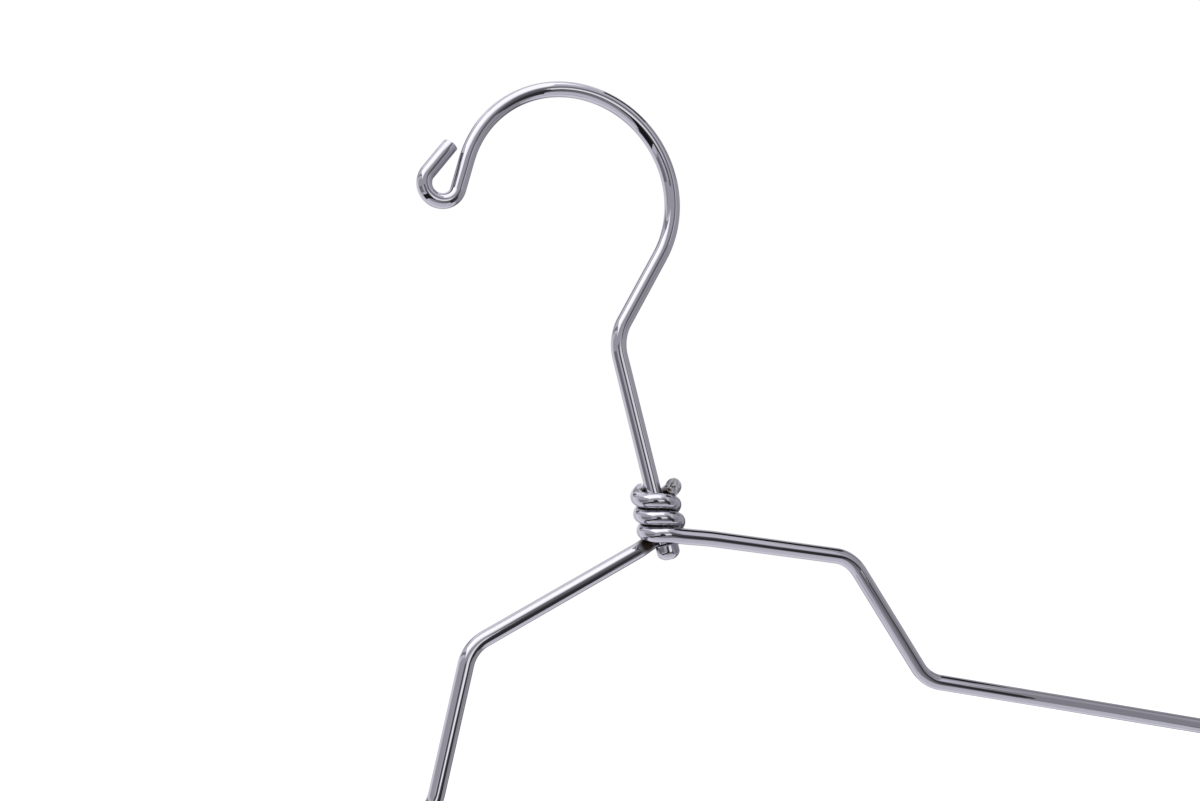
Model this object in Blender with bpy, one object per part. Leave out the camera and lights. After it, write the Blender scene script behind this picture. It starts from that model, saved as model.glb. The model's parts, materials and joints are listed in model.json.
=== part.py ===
# Suit hanger of bright steel wire, hung from a rail by a hook that swivels in the frame's twisted neck.
# Metres. +X runs along the trouser bar, +Y to the back and +Z up.
# The origin is the rail seat: the highest point inside the hook's arch.

import bpy
import numpy as np
from math import acos, asin, atan2, ceil, cos, hypot, pi, radians, sin, sqrt
from mathutils import Vector

COLLECTION = "suit_hanger"

# Both wires
WIRE_DIAMETER = 0.0035
WIRE_RADIUS = WIRE_DIAMETER / 2
FIT_CLEARANCE = 0.0003      # between the hook and the frame's wire, all round
CHORD_ERROR = 0.00003       # how far a bend's straight steps may leave the true arc
BEVEL_RESOLUTION = 4        # a wire of twelve sides

# Hook, from its head in the neck to the curl at its tip
STEM_LEAN = radians(2.9)    # the stem leans towards -X, so that the frame hangs level
NECK_TO_KINK = 0.0398
KINK_RADIUS = 0.0108
KINK_TURN = radians(43.6)
LEAN_LENGTH = 0.0174
ARCH_RADIUS = 0.0242
ARCH_TURN = radians(193.7)
LEG_LENGTH = 0.0072
CURL_RADIUS = 0.0038
CURL_TURN = radians(202)
TAIL_LENGTH = 0.0085

# Head that is pressed on the stem's lower end and carries the frame
HEAD_DIAMETER = 0.0051
HEAD_RADIUS = HEAD_DIAMETER / 2
HEAD_DROP = 0.0058          # from the neck down to the head's end
HEAD_DOME_HEIGHT = 0.0017
HEAD_CHAMFER = 0.0003
HEAD_FLAT_SHARE = 0.35      # flat at the middle of the dome, as a share of the head's radius
HEAD_DOME_STEPS = 4

# Frame, one wire with both its ends wound round the stem
OVERALL_WIDTH = 0.430
BAR_DROP = 0.116            # from the neck down to the trouser bar
INNER_SLOPE = radians(16.9)
RIGHT_INNER_LENGTH = 0.0446
LEFT_INNER_LENGTH = 0.0501
LEFT_ARM_DROP = 0.0006      # the left arm passes behind the stem this far below the right one
DROP_TURN = radians(90)     # and its first turn makes that up within this angle
STEP_SLOPE = radians(66.2)
STEP_LENGTH = 0.0337
BEND_RADIUS = 0.006
TIP_RADIUS = 0.009

# Neck, a left-handed twist of the wire's two ends, each end climbing between the other's turns
TURN_GAP = 0.0005
RIGHT_END_TURN = radians(530)   # wound from the front of the stem, and hidden behind it at the end
LEFT_END_TURN = radians(490)    # wound from the back of the stem, to the cut end at its right
STEPS_PER_TURN = 24
NEAREST_STEPS = 48              # for the search of where two turns come nearest
SPACING_ROUNDS = 8              # for the height between turns that keeps their gap
CUT_END_SPRING = 0.0012         # how far the cut end stands out from the turns below it
CUT_END_SPRING_TURN = radians(75)
GAP_SAMPLE_SHARE = 0.08        # step along the wire for the printed gaps, as a share of its diameter

STEEL_COLOUR = (0.60, 0.60, 0.63, 1.0)
STEEL_ROUGHNESS = 0.12

FRONT = 0.0
BACK = pi
GAP_SAMPLE = WIRE_DIAMETER * GAP_SAMPLE_SHARE
TWIST_RADIUS = WIRE_DIAMETER + FIT_CLEARANCE


def direction(angle):
    return Vector((cos(angle), 0.0, sin(angle)))


def arc_steps(radius, turn):
    widest_step = 2 * acos(1 - CHORD_ERROR / radius)
    return max(2, ceil(abs(turn) / widest_step))


def straight(length):
    return (length, 0.0)


def bend(radius, turn):
    return (radius * abs(turn), turn)


def follow(stretches, place, heading):
    # Each stretch is a length of wire and the angle that it turns to the left, seen from the front.
    points = [place]
    for length, turn in stretches:
        if turn == 0:
            points.append(place + length * direction(heading))
        else:
            radius = length / turn
            centre = place + radius * direction(heading + pi / 2)
            steps = arc_steps(abs(radius), turn)
            for step in range(1, steps + 1):
                angle = heading + turn * step / steps
                points.append(centre - radius * direction(angle + pi / 2))
        heading += turn
        place = points[-1]
    return points, heading


# Hook, drawn in its own plane with +Z up the stem and the neck at zero

def hook_foot():
    return [straight(NECK_TO_KINK), bend(KINK_RADIUS, -KINK_TURN), straight(LEAN_LENGTH)]


def hook_top():
    arch = [bend(ARCH_RADIUS, ARCH_TURN), straight(LEG_LENGTH)]
    curl = [bend(CURL_RADIUS, -CURL_TURN), straight(TAIL_LENGTH)]
    return arch + curl


def head_rim_height():
    # The rim comes up under the wires that pass in front of the stem and behind it.
    beside = min(TWIST_RADIUS - HEAD_RADIUS, WIRE_RADIUS)
    half_thickness = sqrt(WIRE_RADIUS ** 2 - beside ** 2)
    return -(LEFT_ARM_DROP + half_thickness + FIT_CLEARANCE)


def head_profile():
    # Heights and radii up the pressed head, from its flat to the plain stem.
    first = asin(HEAD_FLAT_SHARE)
    profile = []
    for step in range(HEAD_DOME_STEPS + 1):
        angle = first + (pi / 2 - first) * step / HEAD_DOME_STEPS
        rise = (cos(first) - cos(angle)) / cos(first)
        profile.append((-HEAD_DROP + HEAD_DOME_HEIGHT * rise, HEAD_RADIUS * sin(angle)))
    rim = head_rim_height()
    profile.append((rim - HEAD_CHAMFER, HEAD_RADIUS))
    profile.append((rim, WIRE_RADIUS))
    return profile


def hook_route():
    head = head_profile()
    foot, heading = follow(hook_foot(), Vector(), pi / 2)
    top, _ = follow(hook_top(), foot[-1], heading)
    wire = foot + top[1:]
    points = [Vector((0.0, 0.0, height)) for height, _ in head] + wire
    radii = [radius for _, radius in head] + [WIRE_RADIUS] * len(wire)
    return points, radii


# Where the hook stands: its seat on the rail is the origin, and the neck hangs below it

def stem_axis():
    return Vector((-sin(STEM_LEAN), 0.0, cos(STEM_LEAN)))


def leaned(point):
    across = Vector((cos(STEM_LEAN), 0.0, sin(STEM_LEAN)))
    return point.x * across + point.z * stem_axis()


def neck_place():
    foot, heading = follow(hook_foot(), Vector(), pi / 2)
    arch_centre = foot[-1] + ARCH_RADIUS * direction(heading + pi / 2)
    rail_seat = leaned(arch_centre) + (ARCH_RADIUS - WIRE_RADIUS) * Vector((0.0, 0.0, 1.0))
    return -rail_seat


# Frame, drawn from the neck

def nearest_turn(spacing):
    # Distance between two neighbouring turns' centre lines, which is least a little way round the stem.
    climb = spacing / pi
    around = [pi / 2 * step / NEAREST_STEPS for step in range(NEAREST_STEPS + 1)]
    return min(hypot(2 * TWIST_RADIUS * sin(angle / 2), spacing - climb * angle) for angle in around)


def turn_spacing():
    # Height from one turn to the next, such that the slanted wires keep their gap.
    spacing = WIRE_DIAMETER + TURN_GAP
    for _ in range(SPACING_ROUNDS):
        spacing *= (WIRE_DIAMETER + TURN_GAP) / nearest_turn(spacing)
    return spacing


def strand(start, first_turn, last_turn, drop, spring):
    # One end of the wire as it winds up the stem. Two ends share it, so each climbs two spacings a turn.
    lead = 2 * turn_spacing()
    steps = ceil((last_turn - first_turn) * STEPS_PER_TURN / (2 * pi))
    points = []
    for step in range(steps + 1):
        turned = first_turn + (last_turn - first_turn) * step / steps
        azimuth = start - turned
        lowered = drop * (1 + cos(max(0.0, min(pi * turned / DROP_TURN, pi)))) / 2
        sprung = max(0.0, turned - last_turn + CUT_END_SPRING_TURN) / CUT_END_SPRING_TURN
        radius = TWIST_RADIUS + spring * sprung ** 2
        ring = Vector((radius * sin(azimuth), -radius * cos(azimuth), -lowered))
        points.append(stem_axis() * lead * turned / (2 * pi) + ring)
    return points


def entry_turn(reach):
    # An arm leaves the twist on its tangent, a little before it would cross the stem.
    return -asin(TWIST_RADIUS / reach)


def rounded(before, corner, after, radius):
    back = (before - corner).normalized()
    on = (after - corner).normalized()
    turn = pi - back.angle(on)
    tangent = radius * sin(turn / 2) / cos(turn / 2)
    centre = corner + (back + on).normalized() * radius / cos(turn / 2)
    spoke = corner + back * tangent - centre
    axis = on.cross(back).normalized()
    steps = arc_steps(radius, turn)
    points = []
    for step in range(steps + 1):
        angle = turn * step / steps
        points.append(centre + spoke * cos(angle) + axis.cross(spoke) * sin(angle))
    return points


def shoulder_corners(side):
    # Upper and lower corner of the step beside the neck.
    length = RIGHT_INNER_LENGTH if side > 0 else LEFT_INNER_LENGTH
    drop = 0.0 if side > 0 else LEFT_ARM_DROP
    upper = Vector((side * length * cos(INNER_SLOPE), 0.0, -length * sin(INNER_SLOPE) - drop))
    lower = upper + Vector((side * STEP_LENGTH * cos(STEP_SLOPE), 0.0, -STEP_LENGTH * sin(STEP_SLOPE)))
    return upper, lower


def frame_middle():
    return (shoulder_corners(1)[0].x + shoulder_corners(-1)[0].x) / 2


def tip_points(side):
    # The shoulder meets the tip's arc on its tangent, and the arc ends on the level bar.
    lower = shoulder_corners(side)[1]
    centre_x = side * (OVERALL_WIDTH / 2 - WIRE_RADIUS - TIP_RADIUS)
    centre = Vector((frame_middle() + centre_x, 0.0, TIP_RADIUS - BAR_DROP))
    along = side * (centre.x - lower.x)
    down = centre.z - lower.z
    first = atan2(down, along) + pi - acos(TIP_RADIUS / hypot(along, down))
    last = -pi / 2
    steps = arc_steps(TIP_RADIUS, first - last)
    points = []
    for step in range(steps + 1):
        angle = first + (last - first) * step / steps
        points.append(centre + TIP_RADIUS * Vector((side * cos(angle), 0.0, sin(angle))))
    return points


def side_points(side, neck_end):
    # From the neck out to the trouser bar, on one side.
    upper, lower = shoulder_corners(side)
    tip = tip_points(side)
    return rounded(neck_end, upper, lower, BEND_RADIUS) + rounded(upper, lower, tip[0], BEND_RADIUS) + tip


def strands():
    right_reach = shoulder_corners(1)[0].x
    left_reach = -shoulder_corners(-1)[0].x
    right = strand(FRONT, entry_turn(right_reach), RIGHT_END_TURN, 0.0, 0.0)
    left = strand(BACK, entry_turn(left_reach), LEFT_END_TURN, LEFT_ARM_DROP, CUT_END_SPRING)
    return right, left


def frame_route():
    right, left = strands()
    right_side = side_points(1, right[0])
    left_side = side_points(-1, left[0])
    return right[::-1] + right_side + left_side[::-1] + left


# Measures that are printed

def sampled(points):
    fine = []
    for first, second in zip(points, points[1:]):
        count = max(1, ceil((second - first).length / GAP_SAMPLE))
        for step in range(count):
            fine.append(tuple(first.lerp(second, step / count)))
    return np.array(fine)


def least_turn_gap():
    # Least gap of the twisted wire to itself, between places half a turn or more apart along it.
    right, left = strands()
    right_side = side_points(1, right[0])
    left_side = side_points(-1, left[0])
    one = sampled(right[::-1] + right_side[:1])
    two = sampled(left[::-1] + left_side[:1])
    between = np.linalg.norm(one[:, None] - two[None], axis=2).min()
    least = between
    apart = ceil(pi * TWIST_RADIUS / GAP_SAMPLE)
    for run in (one, two):
        distance = np.linalg.norm(run[:, None] - run[None], axis=2)
        index = np.arange(len(run))
        far = np.abs(index[:, None] - index[None]) > apart
        least = min(least, distance[far].min())
    return least - WIRE_DIAMETER


def least_stem_gap():
    axis = np.array(stem_axis())
    away = []
    for points in strands():
        run = sampled(points)
        along = run @ axis
        away.append(np.linalg.norm(run - along[:, None] * axis, axis=1).min())
    return min(away) - WIRE_DIAMETER


# Objects

def clear_scene():
    for item in list(bpy.data.objects):
        bpy.data.objects.remove(item, do_unlink=True)


def steel(name):
    material = bpy.data.materials.new(name)
    material.use_nodes = True
    shader = material.node_tree.nodes["Principled BSDF"]
    shader.inputs["Base Color"].default_value = STEEL_COLOUR
    shader.inputs["Metallic"].default_value = 1.0
    shader.inputs["Roughness"].default_value = STEEL_ROUGHNESS
    material.diffuse_color = STEEL_COLOUR
    return material


def wire(name, points, radii, collection):
    curve = bpy.data.curves.new(name, "CURVE")
    curve.dimensions = "3D"
    curve.fill_mode = "FULL"
    curve.bevel_depth = WIRE_RADIUS
    curve.bevel_resolution = BEVEL_RESOLUTION
    curve.use_fill_caps = True
    spline = curve.splines.new("POLY")
    spline.points.add(len(points) - 1)
    for target, point, radius in zip(spline.points, points, radii):
        target.co = (point.x, point.y, point.z, 1.0)
        target.radius = radius / WIRE_RADIUS
    spline.use_smooth = True
    curve.materials.append(steel(name + "_steel"))
    item = bpy.data.objects.new(name, curve)
    collection.objects.link(item)
    return item


def swivel_hook(collection):
    points, radii = hook_route()
    hook = wire("swivel_hook", points, radii, collection)
    hook.location = neck_place()
    hook.rotation_euler = (0.0, -STEM_LEAN, 0.0)


def frame_wire(collection):
    points = frame_route()
    frame = wire("frame_wire", points, [WIRE_RADIUS] * len(points), collection)
    frame.location = neck_place()


def main():
    clear_scene()
    collection = bpy.data.collections.new(COLLECTION)
    bpy.context.scene.collection.children.link(collection)
    swivel_hook(collection)
    frame_wire(collection)
    neck = neck_place()
    print(f"Neck at {neck.x:.5f}, {neck.y:.5f}, {neck.z:.5f} m")
    print(f"Least gap between the neck's turns: {least_turn_gap() * 1000:.2f} mm")
    print(f"Least gap from the neck to the stem: {least_stem_gap() * 1000:.2f} mm")


main()
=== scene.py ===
# Suit hanger of bright steel wire: fine wire meshes, their finish, and a small studio around them.
# Metres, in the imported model's own frame. The rail seat inside the hook's arch is the origin.

import json
from functools import partial
from math import acos, asin, atan2, ceil, cos, hypot, pi, radians, sin, tan

import bpy
from mathutils import Matrix, Vector, kdtree, noise

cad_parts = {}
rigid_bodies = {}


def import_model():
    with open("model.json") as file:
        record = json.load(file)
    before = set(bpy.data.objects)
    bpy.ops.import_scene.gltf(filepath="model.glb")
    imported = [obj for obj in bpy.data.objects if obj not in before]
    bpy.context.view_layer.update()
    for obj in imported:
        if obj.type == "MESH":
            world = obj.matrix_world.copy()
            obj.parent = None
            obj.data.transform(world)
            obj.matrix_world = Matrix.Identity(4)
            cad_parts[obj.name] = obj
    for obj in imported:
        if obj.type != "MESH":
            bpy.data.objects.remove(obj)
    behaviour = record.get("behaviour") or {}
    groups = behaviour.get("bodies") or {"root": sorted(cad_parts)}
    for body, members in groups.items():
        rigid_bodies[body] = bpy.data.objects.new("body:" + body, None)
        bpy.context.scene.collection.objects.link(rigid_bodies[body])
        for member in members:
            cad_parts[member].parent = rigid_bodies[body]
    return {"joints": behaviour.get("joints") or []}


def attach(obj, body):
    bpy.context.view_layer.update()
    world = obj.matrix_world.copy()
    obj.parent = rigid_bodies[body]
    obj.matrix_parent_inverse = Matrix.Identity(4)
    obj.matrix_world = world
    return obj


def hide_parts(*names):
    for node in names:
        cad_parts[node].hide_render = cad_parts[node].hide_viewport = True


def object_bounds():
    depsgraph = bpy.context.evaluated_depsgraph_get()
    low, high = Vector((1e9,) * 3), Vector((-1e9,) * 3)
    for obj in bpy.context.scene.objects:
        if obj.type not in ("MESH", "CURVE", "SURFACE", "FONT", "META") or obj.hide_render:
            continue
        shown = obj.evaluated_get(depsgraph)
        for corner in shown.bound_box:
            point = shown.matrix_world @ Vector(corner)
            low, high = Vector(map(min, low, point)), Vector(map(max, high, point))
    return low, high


for item in list(bpy.data.objects):
    bpy.data.objects.remove(item, do_unlink=True)

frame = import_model()
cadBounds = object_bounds()
swivel = frame["joints"][0]
neck = Vector(swivel["pos_m"])
stemUp = Vector(swivel["axis"]).normalized()
print("frame loaded, neck at", [round(v, 5) for v in neck])


def hexColour(code):
    # sRGB hex to the linear colour that shaders take
    def linear(c):
        return c / 12.92 if c <= 0.04045 else ((c + 0.055) / 1.055) ** 2.4
    return tuple(linear(int(code[i:i + 2], 16) / 255) for i in (1, 3, 5)) + (1.0,)


def addObject(name, data):
    item = bpy.data.objects.new(name, data)
    bpy.context.scene.collection.objects.link(item)
    return item


def newMaterial(name):
    material = bpy.data.materials.new(name)
    material.use_nodes = True
    tree = material.node_tree
    return material, tree, tree.nodes["Principled BSDF"]


def addNode(tree, kind, inputs=None, **settings):
    # one node with its settings; an input is a value or another node's output socket
    node = tree.nodes.new(kind)
    for key, value in settings.items():
        setattr(node, key, value)
    for key, value in (inputs or {}).items():
        if isinstance(value, bpy.types.NodeSocket):
            tree.links.new(value, node.inputs[key])
        else:
            node.inputs[key].default_value = value
    return node


# the wire, as a mesh swept along a route

wire = {
    "radius": 0.00175,          # 3.5 mm wire
    "sides": 48,
    "stepAngle": radians(3.0),  # along bends
    "longestStep": 0.004,       # along straights
    "neckStep": 0.0005,         # and near the neck, where the oil and painted shade need it
    "neckZone": 0.016,          # what counts as near the neck
    "bendFlat": 0.025,          # a bend squeezes the wire flatter by this share
    "tightBend": 0.006,         # radius that counts as fully bent
    "bendSoftenings": 3,        # rounds that let the squeeze fade into the straights
    "gapReach": 0.0006,         # brown oil and painted shade darken where the next turn is nearer than this
    "sameTurn": 0.008,          # a shorter way than this along the wire is the same turn
    # where more brown oil and painted shade lie: place from the neck, then its reach
    "oilAndShadePools": (((-0.0036, 0.0019, -0.0015), 0.0037),
                 ((0.0019, -0.0010, 0.0092), 0.0036),
                 ((-0.0027, 0.0006, 0.0103), 0.0016)),
}

cutEnd = {
    "slantRun": 0.004,          # a slanted cut skews the last rings over this length
    "lip": 0.00016,             # radius of the lip where the cutter pressed in
    "lipTurns": (0.5, 1.0),     # rings round the lip, in radians
    "faceShares": (1.0, 0.97, 0.9, 0.8, 0.7, 0.6, 0.5, 0.4, 0.3, 0.2, 0.1),     # and rings on the face
    "tear": 0.00004,            # height of the torn streaks on the face
    "streak": 0.00030,          # their width
    "streakLength": 0.0016,
}


def smooth(share):
    # eases in and out between 0 and 1
    return share * share * (3 - 2 * share)


def towards(angle):
    # a direction in the hanger's upright plane
    return Vector((cos(angle), 0, sin(angle)))


def along(start, heading, moves):
    # follows straights (length, 0) and bends (radius, turn in degrees) in the upright plane
    points = [start]
    for size, turnDegrees in moves:
        turn = radians(turnDegrees)
        if turn == 0:
            points.append(points[-1] + size * towards(heading))
            continue
        side = 1 if turn > 0 else -1
        centre = points[-1] + size * side * towards(heading + pi / 2)
        steps = ceil(abs(turn) / wire["stepAngle"])
        for i in range(1, steps + 1):
            points.append(centre - size * side * towards(heading + turn * i / steps + pi / 2))
        heading += turn
    return points


def roundCorner(before, corner, after, radius):
    # the arc that a bend of this radius makes at a corner between two straights
    back = (before - corner).normalized()
    on = (after - corner).normalized()
    turn = pi - back.angle(on)
    centre = corner + (back + on).normalized() * radius / cos(turn / 2)
    spoke = corner + back * radius * tan(turn / 2) - centre
    axis = on.cross(back).normalized()
    steps = ceil(turn / wire["stepAngle"])
    return [centre + Matrix.Rotation(turn * i / steps, 3, axis) @ spoke for i in range(steps + 1)]


def evenOut(points):
    # splits long straights, so that the mesh has no very long quads
    fine = []
    for a, b in zip(points, points[1:]):
        nearNeck = ((a + b) / 2 - neck).length < wire["neckZone"] + (b - a).length / 2
        longest = wire["neckStep"] if nearNeck else wire["longestStep"]
        count = max(1, ceil((b - a).length / longest))
        fine += [a.lerp(b, i / count) for i in range(count)]
    return fine + [points[-1]]


def runsOf(points):
    # how far along the wire each point is
    runs = [0.0]
    for a, b in zip(points, points[1:]):
        runs.append(runs[-1] + (b - a).length)
    return runs


def travelFrames(points, side):
    # a tangent, a side and a top for each point, carried along without twisting
    frames = []
    last = len(points) - 1
    for i in range(last + 1):
        tangent = (points[min(i + 1, last)] - points[max(i - 1, 0)]).normalized()
        side = (side - side.dot(tangent) * tangent).normalized()
        frames.append((tangent, side, tangent.cross(side)))
    return frames


def howBent(points, frames):
    # 0 on a straight and 1 on a tight bend, softened along the wire
    last = len(points) - 1
    shortest = 1e-6             # keeps doubled points from dividing by nothing
    bent = []
    for i in range(last + 1):
        j, k = max(i - 1, 0), min(i + 1, last)
        run = max((points[k] - points[j]).length, shortest)
        bent.append(min(1.0, frames[j][0].angle(frames[k][0], 0) / run * wire["tightBend"]))
    for _ in range(wire["bendSoftenings"]):
        bent = [(bent[max(i - 1, 0)] + bent[i] + bent[min(i + 1, last)]) / 3 for i in range(last + 1)]
    return bent


def coreMap(routes):
    # the wires' centre lines near the neck, as points that know their wire and their place on it
    cores = []
    for name, points in routes.items():
        for point, run in zip(points, runsOf(points)):
            if (point - neck).length < wire["neckZone"]:
                cores.append((point, name, run))
    tree = kdtree.KDTree(len(cores))
    for i, (point, _, _) in enumerate(cores):
        tree.insert(point, i)
    tree.balance()
    return tree, cores


def oilAndShadeAt(coreTree, name, run, place):
    # 1 where another turn or the other wire touches this spot, as painted shade in the gap, or where a
    # pool of brown oil and painted shade reaches; 0 beyond their reach
    tree, cores = coreTree
    if (place - neck).length > wire["neckZone"]:
        return 0.0
    # closeness of another turn gives painted shade in the gaps between turns
    gap = wire["gapReach"]
    for _, i, distance in tree.find_range(place, wire["radius"] + gap):
        _, other, otherRun = cores[i]
        if other != name or abs(otherRun - run) > wire["sameTurn"]:
            gap = min(gap, max(0.0, distance - wire["radius"]))
    pools = [1 - (place - neck - Vector(spot)).length / reach for spot, reach in wire["oilAndShadePools"]]
    return max(0.0, 1 - gap / wire["gapReach"], *pools)


def newBuild():
    # "straight" keeps each point's place on the wire before it was bent
    return {"verts": [], "faces": [], "slots": [], "straight": [], "bent": [], "oilAndShade": []}


def addRing(build, places, straights, bent, oilAndShade):
    # adds one ring of points, or a single point, and tells where it starts
    start = len(build["verts"])
    build["verts"] += places
    build["straight"] += straights
    build["bent"] += [bent] * len(places)
    build["oilAndShade"] += [oilAndShade(place) for place in places]
    return start


def addSkin(build, first, second, slot):
    # quads between two rings, or triangles where one of the two is the single point just added
    sides, newest = wire["sides"], len(build["verts"]) - 1
    for s in range(sides):
        t = (s + 1) % sides
        if second == newest:
            face = (first + s, first + t, second)
        elif first == newest:
            face = (second + t, second + s, first)
        else:
            face = (first + s, first + t, second + t, second + s)
        build["faces"].append(face)
        build["slots"].append(slot)


def addCap(build, outer, inner, grow, slot):
    # skin from a ring to one nearer the end's middle, facing out at either end of the wire
    first, second = (outer, inner) if grow > 0 else (inner, outer)
    addSkin(build, first, second, slot)


def cutAngle(cut, side, top):
    # where round the wire the cut face lies furthest back
    back = Vector(cut["back"])
    return atan2(back.dot(top), back.dot(side))


def closeCut(build, rim, centre, axes, run, cut, grow, oilAndShade):
    # closes one end: a lip, then the slanted face with its torn streaks
    tangent, side, top = axes
    lip, sides = cutEnd["lip"], wire["sides"]
    inside = wire["radius"] - lip
    lean, at = tan(cut["slant"]), cutAngle(cut, side, top)
    levels = [(inside + lip * cos(turn), lip * sin(turn), 0) for turn in cutEnd["lipTurns"]]
    levels += [(inside * share, lip, 1) for share in cutEnd["faceShares"]]
    ring = rim
    for size, rise, onFace in levels:
        places, straights = [], []
        for s in range(sides):
            phi = 2 * pi * s / sides
            x, y = size * cos(phi), size * sin(phi)
            back, up = x * cos(at) + y * sin(at), y * cos(at) - x * sin(at)
            spot = Vector((back / cutEnd["streak"], up / cutEnd["streakLength"], cut["seed"]))
            height = rise + onFace * cutEnd["tear"] * noise.noise(spot) - lean * back
            places.append(centre + side * x + top * y + tangent * height * grow)
            straights.append((back, up, run))
        inner = addRing(build, places, straights, 0.0, oilAndShade)
        addCap(build, ring, inner, grow, onFace)
        ring = inner
    middle = addRing(build, [centre + tangent * lip * grow], [(0, 0, run)], 0.0, oilAndShade)
    addCap(build, ring, middle, grow, 1)


def sweepWire(name, points, side, cores, sizes=None, startCut=None, endCut=None, shapeRing=None):
    # rings along the route, skewed towards a slanted cut, then both ends closed
    sides = wire["sides"]
    frames = travelFrames(points, side)
    bent = howBent(points, frames)
    runs = runsOf(points)
    build, rings = newBuild(), []
    # each ring's mask of brown oil, with painted shade where turns touch
    oilAndShadeMasks = [partial(oilAndShadeAt, cores, name, run) for run in runs]
    for i, point in enumerate(points):
        tangent, across, top = frames[i]
        radius = sizes[i] if sizes else wire["radius"]
        flat = 1 - wire["bendFlat"] * bent[i]
        skews = []
        for cut, end, sign in ((startCut, 0, 1), (endCut, -1, -1)):
            share = 1 - abs(runs[end] - runs[i]) / cutEnd["slantRun"]
            if cut and share > 0:
                skews.append((cutAngle(cut, *frames[end][1:]), sign * share * tan(cut["slant"])))
        places, straights = [], []
        for s in range(sides):
            phi = 2 * pi * s / sides
            x, y = radius * cos(phi), radius * sin(phi)
            skew = sum((x * cos(at) + y * sin(at)) * slope for at, slope in skews)
            place = point + across * x + top * y * flat + tangent * skew
            places.append(shapeRing(i, place) if shapeRing else place)
            straights.append((x, y, runs[i]))
        rings.append(addRing(build, places, straights, bent[i], oilAndShadeMasks[i]))
        if i:
            addSkin(build, rings[-2], rings[-1], 0)
    for cut, i, grow in ((startCut, 0, -1), (endCut, -1, 1)):
        if cut:
            closeCut(build, rings[i], points[i], frames[i], runs[i], cut, grow, oilAndShadeMasks[i])
            continue
        middle = addRing(build, [points[i]], [(0, 0, runs[i])], 0.0, oilAndShadeMasks[i])
        addCap(build, rings[i], middle, grow, 0)
    return meshPiece(name, build)


def meshPiece(name, build):
    # the finished mesh, with what the finishes read kept on its points
    mesh = bpy.data.meshes.new(name)
    mesh.from_pydata([tuple(v) for v in build["verts"]], [], build["faces"])
    straightened = mesh.attributes.new("straightened", "FLOAT_VECTOR", "POINT")
    straightened.data.foreach_set("vector", [v for place in build["straight"] for v in place])
    for share in ("bent", "oilAndShade"):
        mesh.attributes.new(share, "FLOAT", "POINT").data.foreach_set("value", build[share])
    mesh.polygons.foreach_set("material_index", build["slots"])
    mesh.polygons.foreach_set("use_smooth", [True] * len(mesh.polygons))
    mesh.update()
    return addObject(name, mesh)


# the hook

hookShape = {
    "neckToKink": 0.0398,
    "kink": (0.0108, -43.6),    # radius, and turn in degrees
    "lean": 0.0174,
    "arch": (0.0242, 193.7),
    "leg": 0.0072,
    "curl": (0.0038, -202.0),
    "tail": 0.0080,
    "tailCut": {"slant": radians(4), "back": (0.3, 0.2, 1), "seed": 3.0},
}

pressedHead = {
    "radius": 0.0025,
    "drop": 0.0056,             # from the neck down to its end
    "rim": 0.00217,             # and down to its rim
    "domeHeight": 0.0017,
    "domeSteps": 12,
    "flatShare": 0.35,          # the dome ends in a flat, this share of the radius
    "flatRings": (0.3, 0.6, 0.85),      # rings on that flat
    # the rounded rim: how far below its top, and share of the radius there
    "rimRings": ((0.0009, 1.0), (0.0004, 1.0), (0.0002, 0.985), (0.00007, 0.93), (0, 0.84)),
    "filletShare": 1.08,        # a small fillet leads from the rim to the stem
    "fillet": 0.0002,
    "facet": (0.56, -0.83, 0.0),    # the cold press left a flat on this side
    "facetReach": 0.00232,
}


def headProfile():
    # heights from the neck and radii of the cold-pressed head, from its end up
    head = pressedHead
    full, end, rim, steps = head["radius"], -head["drop"], -head["rim"], head["domeSteps"]
    first = asin(head["flatShare"])
    profile = [(end, full * head["flatShare"] * share) for share in head["flatRings"]]
    for i in range(steps + 1):
        angle = first + (pi / 2 - first) * i / steps
        rise = (cos(first) - cos(angle)) / cos(first)
        profile.append((end + head["domeHeight"] * rise, full * sin(angle)))
    profile += [(rim - below, full * share) for below, share in head["rimRings"]]
    return profile + [(rim, wire["radius"] * head["filletShare"]), (rim + head["fillet"], wire["radius"])]


def hookRoute():
    # the stem, kink, lean, arch and curl from the neck up, with the head below
    shape = hookShape
    moves = [(shape["neckToKink"], 0), shape["kink"], (shape["lean"], 0), shape["arch"],
             (shape["leg"], 0), shape["curl"], (shape["tail"], 0)]
    stemHeading = atan2(stemUp.z, stemUp.x)
    route = evenOut(along(neck, stemHeading, moves))
    head = headProfile()
    points = [neck + stemUp * height for height, _ in head] + route
    return points, [radius for _, radius in head] + [wire["radius"]] * len(route)


def buildHook(points, sizes, cores):
    # the wire with its pressed head, whose flat side is pushed in here
    headEnd = len(headProfile())
    outward = Vector(pressedHead["facet"]).normalized()

    def pressFlat(i, place):
        if i >= headEnd:
            return place
        return place - outward * max(0.0, (place - neck).dot(outward) - pressedHead["facetReach"])

    hook = sweepWire("hookWire", points, Vector((0, -1, 0)), cores, sizes,
                     endCut=hookShape["tailCut"], shapeRing=pressFlat)
    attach(hook, "hook")
    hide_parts("swivel_hook")
    print("hook:", len(hook.data.polygons), "faces")
    return hook


# the frame

frameShape = {
    # the two sides were bent one after the other and differ a little. The inner arm's length and slope,
    # how far below the neck it starts, as the left one passes behind the stem, then the step
    "right": {"inner": 0.0453, "innerSlope": radians(17.1), "drop": 0.0,
              "step": 0.0329, "stepSlope": radians(67.8)},
    "left": {"inner": 0.0498, "innerSlope": radians(16.9), "drop": 0.0007,
             "step": 0.0337, "stepSlope": radians(65.5)},
    "bendRadius": 0.008,
    "overallWidth": 0.430,
    "barDrop": 0.116,           # from the neck down to the bar
    "tipRadius": 0.009,
}

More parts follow.
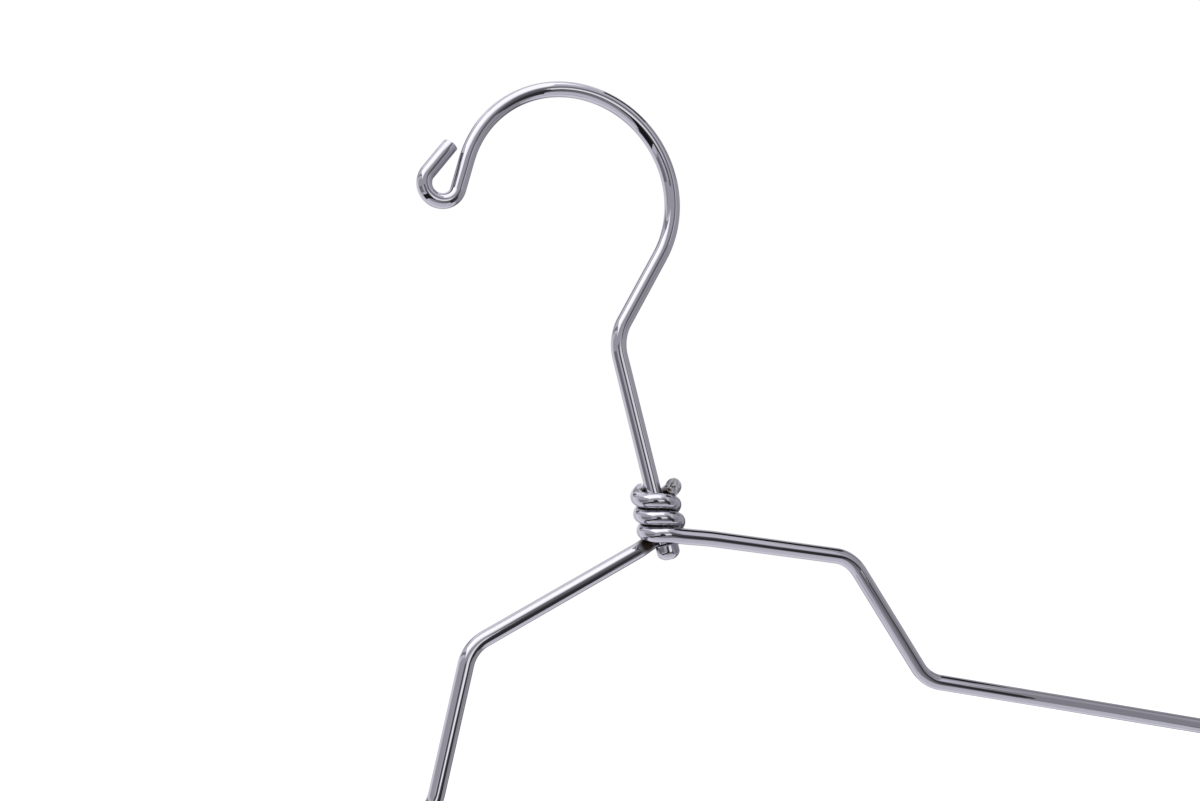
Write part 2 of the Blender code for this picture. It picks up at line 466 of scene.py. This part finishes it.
neckTwist = {
    "radius": 0.00354,          # the turns lie on the stem
    "spacing": 0.00371,         # from turn to turn, so that they lie on each other
    "loose": 0.00045,           # the lowest turn stands out this far on the left
    "looseRise": 0.0090,        # and the turns are tight from this height up
    "rightEnd": radians(528),   # how far each end is wound, to its cut
    "leftEnd": radians(490),
    "stepAngle": radians(6),
    "sink": 0.00038,            # the coil has settled this far below the right arm's own line
    "tilt": 0.00032,            # and lies lower on the left than on the right
    "rightRun": 0.011,          # the right arm comes down to it over this length
    "leftLift": 0.00035,        # and the left arm comes up to it by this
    "leftRun": 0.006,           # over this length
    "settleSteps": 12,
    "springOut": 0.00115,       # the left end of the wire, in view, stands a little off the stem
    "springAngle": radians(100),    # over this last part of its way
    "springBend": 1.3,          # and ever faster towards its cut
    "rightCut": {"slant": radians(12), "back": (0.0, 0.3, 1.0), "seed": 11.0},
    "leftCut": {"slant": radians(17), "back": (-0.8, 0.4, 0.25), "seed": 7.0},
}


def windStrand(start, first, last, spring):
    # one end of the wire wound up round the stem, from where its arm comes in to its cut
    twist = neckTwist
    steps = ceil((last - first) / twist["stepAngle"])
    points = []
    for i in range(steps + 1):
        turned = first + (last - first) * i / steps
        azimuth = start - turned
        rise = twist["spacing"] * turned / pi - twist["sink"] + twist["tilt"] * sin(azimuth)
        sprung = max(0.0, turned - last + twist["springAngle"]) / twist["springAngle"]
        slack = max(0.0, 1 - (rise / twist["looseRise"]) ** 2) * max(0.0, -sin(azimuth))
        radius = twist["radius"] + twist["loose"] * slack + spring * sprung ** twist["springBend"]
        points.append(neck + stemUp * rise + Vector((radius * sin(azimuth), -radius * cos(azimuth), 0)))
    return points


def settledArm(coilStart, corner, lift, length):
    # the arm keeps its own straight line until near the neck, where it comes to the coil
    own = coilStart + stemUp * lift
    way = (corner - own).normalized()
    steps = neckTwist["settleSteps"]
    points = []
    for i in range(1, steps + 1):
        points.append(own + way * length * i / steps - stemUp * lift * (1 - smooth(i / steps)))
    return points


def stepCorners(side):
    # a step's two corners before they are rounded; side is 1 on the right and -1 on the left
    arm = frameShape["right" if side > 0 else "left"]
    length, slope = arm["inner"], arm["innerSlope"]
    upper = neck + Vector((side * length * cos(slope), 0, -length * sin(slope) - arm["drop"]))
    length, slope = arm["step"], arm["stepSlope"]
    lower = upper + Vector((side * length * cos(slope), 0, -length * sin(slope)))
    return upper, lower


def outerTip(side, lower):
    # the loop at a shoulder's end, from where the outer arm meets it round to the bar
    shape = frameShape
    middle = (cadBounds[0][0] + cadBounds[1][0]) / 2
    radius = shape["tipRadius"]
    centre = Vector((middle + side * (shape["overallWidth"] / 2 - wire["radius"] - radius), 0,
                     neck.z + radius - shape["barDrop"]))
    reach, down = side * (centre.x - lower.x), centre.z - lower.z
    first = atan2(down, reach) + pi - acos(radius / hypot(reach, down))
    steps = ceil((first + pi / 2) / wire["stepAngle"])
    angles = [first - (first + pi / 2) * i / steps for i in range(steps + 1)]
    return [centre + radius * Vector((side * cos(a), 0, sin(a))) for a in angles]


def sideRoute(side, armEnd):
    # from the arm's settled end over both of the step's bends and round the tip
    upper, lower = stepCorners(side)
    tip = outerTip(side, lower)
    bend = frameShape["bendRadius"]
    return roundCorner(armEnd, upper, lower, bend) + roundCorner(upper, lower, tip[0], bend) + tip


def frameRoute():
    # from the right-hand cut end down its coil, all round the frame, and up the left-hand coil
    twist = neckTwist
    rightCorner, leftCorner = [stepCorners(side)[0] for side in (1, -1)]
    rightReach, leftReach = [abs(corner.x - neck.x) for corner in (rightCorner, leftCorner)]
    right = windStrand(0, -asin(twist["radius"] / rightReach), twist["rightEnd"], 0)
    left = windStrand(pi, -asin(twist["radius"] / leftReach), twist["leftEnd"], twist["springOut"])
    rightArm = settledArm(right[0], rightCorner, twist["sink"], twist["rightRun"])
    leftArm = settledArm(left[0], leftCorner, -twist["leftLift"], twist["leftRun"])
    rightSide = right[::-1] + rightArm + sideRoute(1, rightArm[-1])
    return evenOut(rightSide + sideRoute(-1, leftArm[-1])[::-1] + leftArm[::-1] + left)


def buildFrame(points, cores):
    # one wire from cut end to cut end
    piece = sweepWire("frameWire", points, Vector((0, 0, 1)), cores,
                      startCut=neckTwist["rightCut"], endCut=neckTwist["leftCut"])
    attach(piece, "frame")
    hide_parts("frame_wire")
    print("frame:", len(piece.data.polygons), "faces")
    return piece


# finishes

colourA, colourB, mixed = 6, 7, 2   # a Mix node's colour sockets, whose names its other sockets share

chromedSteel = {
    "colour": "#BCBCC4",
    "warmer": "#B6B4BA",        # in patches
    "roughness": (0.01, 0.035),
    "sheenFrom": 0.35,          # patch noise at the smoothest plating
    "sheenTo": 0.75,            # and at the dullest
    "bendRoughness": 0.02,      # stretched plating on bends is a little duller
    # widths and length of the drawing lines, coarser than the real ones so that they show
    "lines": (0.00022, 0.00022, 0.02),
    "lineDetail": 2.0,
    "lineDepth": 0.00005,
    "lineStrength": 0.05,
    "patches": (0.003, 0.003, 0.012),   # widths and length of patches in the plating
    "patchDetail": 3.0,
    "oilAndShade": "#2A1A0C",           # dark brown: old drawing oil, and painted shade where turns meet
    "oilAndShadeUneven": 0.2,
    "oilAndShadeFrom": 0.45,            # how much oil and painted shade begins to show
    "oilAndShadeTo": 0.8,               # and how much hides the steel
    "oilAndShadeRoughness": 0.25,
    "oilAndShadeMetallic": 0.1,
}


def stretched(tree, place, sizes, detail):
    # a noise pattern with these real sizes across and along the wire
    scales = tuple(1 / size for size in sizes)
    scaled = addNode(tree, "ShaderNodeVectorMath", {0: place, 1: scales}, operation="MULTIPLY")
    pattern = addNode(tree, "ShaderNodeTexNoise",
                      {"Vector": scaled.outputs["Vector"], "Scale": 1.0, "Detail": detail})
    return pattern.outputs["Fac"]


def chromedSteelWire():
    # chrome plated drawn steel wire: a mirror with faint lines along it, and old oil with painted shade
    # where turns meet
    look = chromedSteel
    material, tree, shader = newMaterial("chromed drawn steel wire")
    place = addNode(tree, "ShaderNodeAttribute", attribute_name="straightened").outputs["Vector"]
    bent = addNode(tree, "ShaderNodeAttribute", attribute_name="bent").outputs["Fac"]
    oilAndShade = addNode(tree, "ShaderNodeAttribute", attribute_name="oilAndShade").outputs["Fac"]
    lines = stretched(tree, place, look["lines"], look["lineDetail"])
    patches = stretched(tree, place, look["patches"], look["patchDetail"])
    low, high = look["roughness"]
    sheen = addNode(tree, "ShaderNodeMapRange",
                    {"Value": patches, "From Min": look["sheenFrom"], "From Max": look["sheenTo"],
                     "To Min": low, "To Max": high}).outputs["Result"]
    onBends = addNode(tree, "ShaderNodeMath", {0: bent, 1: look["bendRoughness"], 2: sheen},
                      operation="MULTIPLY_ADD").outputs["Value"]
    uneven = addNode(tree, "ShaderNodeMath", {0: patches, 1: look["oilAndShadeUneven"], 2: oilAndShade},
                     operation="MULTIPLY_ADD").outputs["Value"]
    dirtAndShade = addNode(tree, "ShaderNodeMapRange",
                   {"Value": uneven, "From Min": look["oilAndShadeFrom"],
                    "From Max": look["oilAndShadeTo"]}).outputs["Result"]
    tint = addNode(tree, "ShaderNodeMix",
                   {"Factor": patches, colourA: hexColour(look["colour"]),
                    colourB: hexColour(look["warmer"])}, data_type="RGBA").outputs[mixed]
    # darkens the chrome to dark brown: brown oil, and painted shade where turns touch
    oilyAndShaded = addNode(tree, "ShaderNodeMix",
                   {"Factor": dirtAndShade, colourA: tint, colourB: hexColour(look["oilAndShade"])}, data_type="RGBA")
    rough = addNode(tree, "ShaderNodeMath", {0: dirtAndShade, 1: look["oilAndShadeRoughness"], 2: onBends},
                    operation="MULTIPLY_ADD")
    # less metal there, so the mirror dims: part of the painted shade
    metal = addNode(tree, "ShaderNodeMapRange",
                    {"Value": dirtAndShade, "To Min": 1.0, "To Max": look["oilAndShadeMetallic"]})
    bump = addNode(tree, "ShaderNodeBump",
                   {"Height": lines, "Strength": look["lineStrength"], "Distance": look["lineDepth"]})
    tree.links.new(oilyAndShaded.outputs[mixed], shader.inputs["Base Color"])
    tree.links.new(metal.outputs["Result"], shader.inputs["Metallic"])
    tree.links.new(rough.outputs["Value"], shader.inputs["Roughness"])
    tree.links.new(bump.outputs["Normal"], shader.inputs["Normal"])
    return material


cutSteel = {
    "dark": "#86868A",
    "light": "#CACACE",
    "rust": "#3A2A1A",
    "metallic": 0.85,
    "roughness": 0.45,
    "streaks": (0.00022, 0.0014, 1.0),  # width and length, and the same all through the wire
    "streakDetail": 4.0,
    "darkFrom": 0.3,            # streak noise at the dark grey
    "lightTo": 0.7,             # and at the light grey
    "depth": 0.00006,
    "bumpStrength": 0.6,
    "pits": (0.0006, 0.0006, 0.0006),
    "pitDetail": 3.0,
    "oilAndShadePits": -0.35,           # the oil and painted shade mask lowers the pit noise, so there is more brown beside it
    "brownFrom": 0.28,          # pit noise at full brown
    "cleanTo": 0.38,            # and at clean steel
}


def shearedSteel():
    # bare steel where the wire was cut: matt grey, drawn into streaks by the cutter, with brown rust
    # pits, and more brown as painted shade where turns meet
    look = cutSteel
    material, tree, shader = newMaterial("sheared bare steel")
    place = addNode(tree, "ShaderNodeAttribute", attribute_name="straightened").outputs["Vector"]
    oilAndShade = addNode(tree, "ShaderNodeAttribute", attribute_name="oilAndShade").outputs["Fac"]
    streaks = stretched(tree, place, look["streaks"], look["streakDetail"])
    spots = stretched(tree, place, look["pits"], look["pitDetail"])
    # brown rust pits, raised as painted shade where the oil and shade mask lies
    clean = addNode(tree, "ShaderNodeMath", {0: oilAndShade, 1: look["oilAndShadePits"], 2: spots},
                    operation="MULTIPLY_ADD").outputs["Value"]
    pits = addNode(tree, "ShaderNodeMapRange",
                   {"Value": clean, "From Min": look["brownFrom"], "From Max": look["cleanTo"]})
    spread = addNode(tree, "ShaderNodeMapRange",
                     {"Value": streaks, "From Min": look["darkFrom"], "From Max": look["lightTo"]})
    grey = addNode(tree, "ShaderNodeMix",
                   {"Factor": spread.outputs["Result"], colourA: hexColour(look["dark"]),
                    colourB: hexColour(look["light"])}, data_type="RGBA").outputs[mixed]
    colour = addNode(tree, "ShaderNodeMix",
                     {"Factor": pits.outputs["Result"], colourA: hexColour(look["rust"]), colourB: grey},
                     data_type="RGBA")
    bump = addNode(tree, "ShaderNodeBump",
                   {"Height": streaks, "Strength": look["bumpStrength"], "Distance": look["depth"]})
    shader.inputs["Metallic"].default_value = look["metallic"]
    shader.inputs["Roughness"].default_value = look["roughness"]
    tree.links.new(colour.outputs[mixed], shader.inputs["Base Color"])
    tree.links.new(bump.outputs["Normal"], shader.inputs["Normal"])
    return material


def finishPieces(pieces):
    # the chrome goes into each piece's first slot, and the bare steel into its second
    finishes = chromedSteelWire(), shearedSteel()
    for piece in pieces:
        for material in finishes:
            piece.data.materials.append(material)
    print("finishes:", ", ".join(material.name for material in finishes))


# camera

view = {
    "lens": 57.0,
    "sensor": 36.0,
    "nearest": 0.01,
    "yaw": radians(-20.85),
    "pitch": radians(-4.0),
    "roll": radians(-11.12),
    "neckInView": (0.01391, 0.02909, 0.41304),   # right, down and away from the camera
}


def placeCamera():
    # toView gives right, down and away from the camera, where Blender's own camera counts up and back
    turn = (Matrix.Rotation(view["roll"], 3, "Z") @ Matrix.Rotation(view["pitch"], 3, "X")
            @ Matrix.Rotation(view["yaw"], 3, "Y"))
    toView = turn @ Matrix(((1, 0, 0), (0, 0, -1), (0, 1, 0)))
    camera = bpy.data.cameras.new("camera")
    camera.lens = view["lens"]
    camera.sensor_width = view["sensor"]
    camera.clip_start = view["nearest"]
    item = addObject("camera", camera)
    fromView = toView.transposed() @ Matrix.Diagonal((1, -1, -1))
    stand = neck - toView.transposed() @ Vector(view["neckInView"])
    item.matrix_world = Matrix.Translation(stand) @ fromView.to_4x4()
    bpy.context.scene.camera = item
    print("camera", round((stand - neck).length, 3), "m from the neck")


# lights and studio

studio = {
    "centre": Vector((0.0, 0.0, -0.09)),
    "distance": 1.7,
    "layer": 0.03,              # each later card stands this much nearer
    "near": {"shoulderPaper": 0.25},    # a paper this close, so that only the right shoulder mirrors it
    "cell": 4,                  # degrees across each of a card's faces
    "fewestCells": 4,
    "paper": "#F8F7FF",
    "tints": {"softBox": "#FFFFFF", "topBox": "#FFFFFF", "frontGlow": "#FFFFFF"},
    "skyOnFloor": 0.42,         # the white surroundings' strength as light
}

# reflector cards and black flags that only the metal sees. Degrees: right of the front, up, width,
# height, roll. Then brightness and how it changes to the card's right and to its top.
cards = {
    "floorPaper": (0, -90, 170, 85, 0, 1.05, 0, -0.2),
    "leftPaper": (-130, 0, 110, 75, 0, 1.15, -0.5, 0),
    "rightPaper": (96, -5, 128, 80, 0, 0.58, 0, 0.05),
    "backPaper": (-178, 15, 60, 100, 0, 1.0, 0, 0.4),
    "backFlag": (134, -12, 26, 50, 0, 0.2, 0, 0.1),
    "rightTop": (95, 58, 110, 28, 5, 1.0, 0.2, 0),
    "leftTop": (-95, 60, 100, 34, 5, 1.15, 0.2, 0.3),
    "backLine": (166, 37, 32, 12, 0, 0.5, 0, 0),
    "backShade": (-157, 40, 18, 20, 0, 0.25, 0, 0),
    "topLine": (-85, 44, 90, 6, 0, 0.4, 0, 0),
    "frontPaper": (-40, 14, 130, 44, 0, 0.62, 0, 0),
    "softBox": (-18, 59, 60, 42, 14, 2.1, 0, 0.5),
    "topBox": (25, 76, 45, 35, 0, 2.0, 0, 0),
    "rightShade": (97, 25, 30, 22, 0, 0.4, 0, 0),
    "rightFlag": (95, 42, 36, 16, -5, 0.03, 0, 0),
    "sideWindow": (46, 20, 9, 38, -27, 1.0, 0, 0),
    "leftShade": (-80, 2, 46, 20, 0, 0.3, 0, 0),
    "leftWindow": (-38, 5, 20, 14, 0, 0.8, 0, 0),
    "lowShade": (-5, -30, 80, 34, 4, 0.35, -0.22, 0),
    "leftFlag": (-50, -22, 85, 18, 12, 0.02, 0, 0),
    "frontShade": (40, -28, 21, 44, 34, 0.05, 0, 0),
    "boxEdge": (26, 6, 18, 46, 0, 0.2, 0, 0.15),
    "cameraShade": (-19, -4, 18, 38, 0, 0.07, 0, 0.08),
    "frontGlow": (8, 1, 26, 18, 0, 1.4, 0, -0.3),
    "shoulderPaper": (60, -20, 20, 40, 0, 0.45, 0, 0),
}


def sky(across, up):
    # direction from its angle to the right of the front, and its height
    a, e = radians(across), radians(up)
    return Vector((sin(a) * cos(e), -cos(a) * cos(e), sin(e)))


def curvedCard(name, card, distance, tint, material):
    # a patch of a sphere round the hanger, so that cards lie over each other without crossing
    across, up, width, height, roll, level, fadeAcross, fadeUp = card
    way = sky(across, up)
    right = Vector((cos(radians(across)), sin(radians(across)), 0))
    top = way.cross(right)
    if top.z < 0:
        top = -top
    lean = radians(roll)
    right, top = right * cos(lean) + top * sin(lean), top * cos(lean) - right * sin(lean)
    columns, rows = [max(studio["fewestCells"], ceil(size / studio["cell"])) for size in (width, height)]
    verts, glow = [], []
    for j in range(rows + 1):
        for i in range(columns + 1):
            x, y = 2 * i / columns - 1, 2 * j / rows - 1
            a, b = radians(width) / 2 * x, radians(height) / 2 * y
            spot = (way * cos(a) + right * sin(a)) * cos(b) + top * sin(b)
            verts.append(studio["centre"] + spot * distance)
            shine = max(0.0, level + fadeAcross * x + fadeUp * y)
            glow += [shine * c for c in tint[:3]]
    n = columns + 1
    faces = [(j * n + i, j * n + i + 1, (j + 1) * n + i + 1, (j + 1) * n + i)
             for j in range(rows) for i in range(columns)]
    mesh = bpy.data.meshes.new(name)
    mesh.from_pydata(verts, [], faces)
    mesh.attributes.new("glow", "FLOAT_VECTOR", "POINT").data.foreach_set("vector", glow)
    mesh.materials.append(material)
    item = addObject(name, mesh)
    item.visible_camera = item.visible_diffuse = item.visible_shadow = item.visible_transmission = False


def buildCards():
    # matt card lit from outside the picture: an even patch of light, or of dark, in the metal
    material, tree, _ = newMaterial("lit matt card")
    material.cycles.emission_sampling = "NONE"      # the lamp and the surroundings light the floor
    tree.nodes.clear()
    glow = addNode(tree, "ShaderNodeAttribute", attribute_name="glow")
    light = addNode(tree, "ShaderNodeEmission", {"Color": glow.outputs["Color"], "Strength": 1.0})
    addNode(tree, "ShaderNodeOutputMaterial", {"Surface": light.outputs["Emission"]})
    for i, (name, card) in enumerate(cards.items()):
        tint = hexColour(studio["tints"].get(name, studio["paper"]))
        distance = studio["near"].get(name, studio["distance"] - studio["layer"] * i)
        curvedCard(name, card, distance, tint, material)


def buildWorld():
    # white to the camera and to the metal, and dimmer as light on the floor
    world = bpy.data.worlds.new("studio")
    bpy.context.scene.world = world
    world.use_nodes = True
    tree = world.node_tree
    tree.nodes.clear()
    ray = addNode(tree, "ShaderNodeLightPath").outputs
    seen = addNode(tree, "ShaderNodeMath", {0: ray["Is Camera Ray"], 1: ray["Is Glossy Ray"]},
                   operation="MAXIMUM")
    through = addNode(tree, "ShaderNodeMath", {0: seen.outputs["Value"], 1: ray["Is Transmission Ray"]},
                      operation="MAXIMUM")
    level = addNode(tree, "ShaderNodeMapRange", {"Value": through.outputs["Value"],
                                                 "To Min": studio["skyOnFloor"], "To Max": 1.0})
    back = addNode(tree, "ShaderNodeBackground",
                   {"Color": (1, 1, 1, 1), "Strength": level.outputs["Result"]})
    addNode(tree, "ShaderNodeOutputWorld", {"Surface": back.outputs["Background"]})


lampBox = {
    "aim": (-10, 55),           # right of the front, and up
    "size": 1.5,
    "radiance": 2.0,
}


def buildLamp():
    # lights the floor and casts the hanger's shadow; the softBox card is its picture in the metal
    lamp = bpy.data.lights.new("lamp", "AREA")
    lamp.size = lampBox["size"]
    lamp.energy = lampBox["radiance"] * pi * lampBox["size"] ** 2
    item = addObject("lamp", lamp)
    way = sky(*lampBox["aim"])
    item.location = studio["centre"] + way * studio["distance"]
    item.rotation_euler = way.to_track_quat("Z", "Y").to_euler()
    item.visible_camera = item.visible_glossy = False


paperFloor = {
    "height": -0.26,
    "half": 6.0,
    "colour": "#EDEDF0",
    "roughness": 0.9,
    "lift": 0.65,               # shown to the camera, it brings the lit floor to white
}


def buildFloor():
    # rolled matt paper: a plain pale ground without any gloss
    half = paperFloor["half"]
    mesh = bpy.data.meshes.new("floor")
    corners = [(-half, -half, 0), (half, -half, 0), (half, half, 0), (-half, half, 0)]
    mesh.from_pydata(corners, [], [(0, 1, 2, 3)])
    floor = addObject("floor", mesh)
    floor.location.z = paperFloor["height"]
    floor.visible_glossy = False        # the floorPaper card is its picture in the metal
    material, tree, shader = newMaterial("rolled matt paper")
    shader.inputs["Base Color"].default_value = hexColour(paperFloor["colour"])
    shader.inputs["Roughness"].default_value = paperFloor["roughness"]
    shader.inputs["Specular IOR Level"].default_value = 0.0
    shader.inputs["Emission Color"].default_value = (1, 1, 1, 1)
    ray = addNode(tree, "ShaderNodeLightPath").outputs
    lift = addNode(tree, "ShaderNodeMath", {0: ray["Is Camera Ray"], 1: paperFloor["lift"]},
                   operation="MULTIPLY")
    tree.links.new(lift.outputs["Value"], shader.inputs["Emission Strength"])
    mesh.materials.append(material)


bpy.context.scene.view_settings.view_transform = "Standard"
hookPoints, hookSizes = hookRoute()
framePoints = frameRoute()
cores = coreMap({"hookWire": hookPoints, "frameWire": framePoints})
finishPieces([buildHook(hookPoints, hookSizes, cores), buildFrame(framePoints, cores)])
placeCamera()
buildWorld()
buildLamp()
buildCards()
buildFloor()
print("studio built with", len(cards), "cards")
